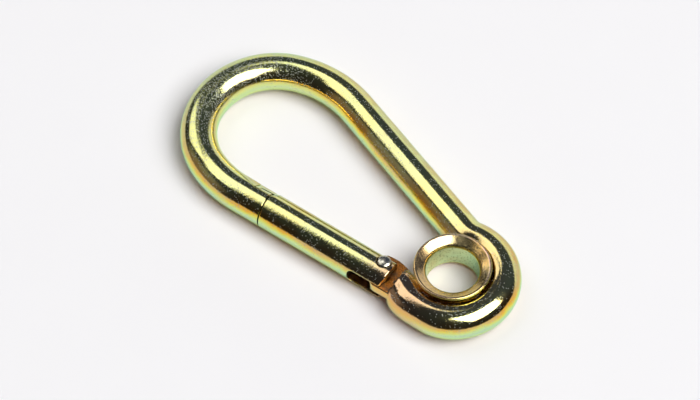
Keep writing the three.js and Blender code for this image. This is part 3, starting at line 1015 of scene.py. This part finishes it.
for obj, node, body, slot, material in (
    (hook_body, "hook_body", "hook", "plated_bar", body_material),
    (gate, "gate", "gate", "plated_bar", gate_material),
    (hinge_rivet, "hinge_rivet", "gate", "rivet_steel", rivet_material),
    (gate_spring, "gate_spring", "gate", "spring_steel", spring_material),
    (spring_plunger, "spring_plunger", "plunger", "plunger_steel", plunger_material),
    (eyelet, "eyelet", "eyelet", "plated_sheet", sheet_material),
):
    obj.data.materials.append(material)
    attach(obj, body)
    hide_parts(node)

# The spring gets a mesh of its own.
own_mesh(gate_spring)

# ---------- Floor, lights and camera ----------

FLOOR_HALF = 1.5
FLOOR_DROP = 0.1 * MM
FLOOR_PALE = (colour(0.925, 0.912, 0.905), colour(0.94, 0.927, 0.92))
FLOOR_FAR = colour(0.55, 0.55, 0.55)
FAR_FLOOR = (0.2, 0.7)  # metres from the hook

floor_mesh = bpy.data.meshes.new("floor")
corners = [(x * FLOOR_HALF, y * FLOOR_HALF, 0) for x, y in ((-1, -1), (1, -1), (1, 1), (-1, 1))]
floor_mesh.from_pydata(corners, [], [(0, 1, 2, 3)])
floor = bpy.data.objects.new("floor", floor_mesh)
bpy.context.scene.collection.objects.link(floor)
floor.location.z = -FLOOR_DROP
floor_material = bpy.data.materials.new("pale_table")
floor_material.use_nodes = True
nodes = Nodes(floor_material.node_tree)
shader = floor_material.node_tree.nodes["Principled BSDF"]
place = nodes.add("TexCoord").outputs["Object"]
paper = nodes.blend(nodes.noise(place, 30), *FLOOR_PALE)
away = nodes.fade(nodes.vector("LENGTH", place)[1], *FAR_FLOOR)
nodes.put(shader.inputs["Base Color"], nodes.blend(away, paper, FLOOR_FAR))
shader.inputs["Roughness"].default_value = 0.6
shader.inputs["Specular IOR Level"].default_value = 0.2
floor_mesh.materials.append(floor_material)


def direction(azimuth, elevation):
    """Unit vector; azimuth is in degrees from +X towards +Y."""
    a, e = math.radians(azimuth), math.radians(elevation)
    return Vector((math.cos(a) * math.cos(e), math.sin(a) * math.cos(e), math.sin(e)))


def looking_back(point, azimuth, elevation, distance, roll):
    """Matrix of a lamp or camera that looks at a point from this direction."""
    back = direction(azimuth, elevation)
    facing = back.to_track_quat("Z", "Y").to_matrix().to_4x4()
    turned = facing @ Matrix.Rotation(math.radians(roll), 4, "Z")
    return Matrix.Translation(point + back * distance) @ turned


def softbox(name, azimuth, elevation, distance, width, height, radiance, tint, roll=0):
    """A rectangular light that faces the hook and shines with the given brightness."""
    light = bpy.data.lights.new(name, "AREA")
    light.shape = "RECTANGLE"
    light.size, light.size_y = width, height
    light.energy = radiance * math.pi * width * height
    light.color = tint
    obj = bpy.data.objects.new(name, light)
    obj.matrix_world = looking_back(Vector((0, 0, 0)), azimuth, elevation, distance, roll)
    bpy.context.scene.collection.objects.link(obj)


WHITE_LIGHT = (0.985, 0.985, 1)
WARM_LIGHT = (1, 0.98, 0.95)
softbox("key_softbox", azimuth=12, elevation=56.5, distance=4.2, width=3.3, height=3.0,
        radiance=6.4, tint=WHITE_LIGHT)
softbox("top_strip", azimuth=192, elevation=64.5, distance=1.4, width=1.24, height=0.40,
        radiance=1.4, tint=WARM_LIGHT, roll=-19.5)
softbox("side_panel", azimuth=183, elevation=41, distance=1.5, width=0.74, height=0.78,
        radiance=1.25, tint=WARM_LIGHT)

# A dim room with a bluer side and one paler wall, over a bright surround below the horizon
ROOM_DARK = colour(0.024, 0.028, 0.036)
ROOM_BLUE = colour(0.042, 0.052, 0.085)
PALE_WALL = colour(0.22, 0.21, 0.20)
SURROUND = colour(0.85, 0.85, 0.85)
FAR_SIDE_RISE = 0.36

world = bpy.data.worlds.new("studio")
bpy.context.scene.world = world
world.use_nodes = True
nodes = Nodes(world.node_tree)
background = world.node_tree.nodes["Background"]
way = nodes.add("TexCoord").outputs["Generated"]


def towards(azimuth, elevation, low, high):
    """1 in the given direction, falling to 0 away from it."""
    cosine = nodes.vector("DOT_PRODUCT", way, direction(azimuth, elevation))[1]
    return nodes.fade(cosine, low, high)


room = nodes.blend(towards(112, 40, 0.3, 0.9), ROOM_DARK, ROOM_BLUE)
room = nodes.blend(towards(228, 16, 0.88, 0.985), room, PALE_WALL)
rise = nodes.times(towards(112, 0, 0.45, 0.95), FAR_SIDE_RISE)
over_horizon = nodes.fade(nodes.minus(nodes.upward(way), rise), -0.08, 0.06)
nodes.put(background.inputs["Color"], nodes.blend(over_horizon, SURROUND, room))

CAMERA_LENS = 216.9
CAMERA_REACH = 20
CAMERA_AZIMUTH = 45.63 - 90
CAMERA_ELEVATION = 55.98
CAMERA_ROLL = -0.52
CAMERA_DISTANCE = 1.2244
CAMERA_TARGET = Vector((0.00021, -0.00161, MID_Z * MM))

camera_data = bpy.data.cameras.new("camera")
camera_data.lens = CAMERA_LENS
camera_data.clip_end = CAMERA_REACH
camera = bpy.data.objects.new("camera", camera_data)
bpy.context.scene.collection.objects.link(camera)
camera.matrix_world = looking_back(
    CAMERA_TARGET, CAMERA_AZIMUTH, CAMERA_ELEVATION, CAMERA_DISTANCE, CAMERA_ROLL,
)
bpy.context.scene.camera = camera
bpy.context.scene.view_settings.view_transform = "Standard"
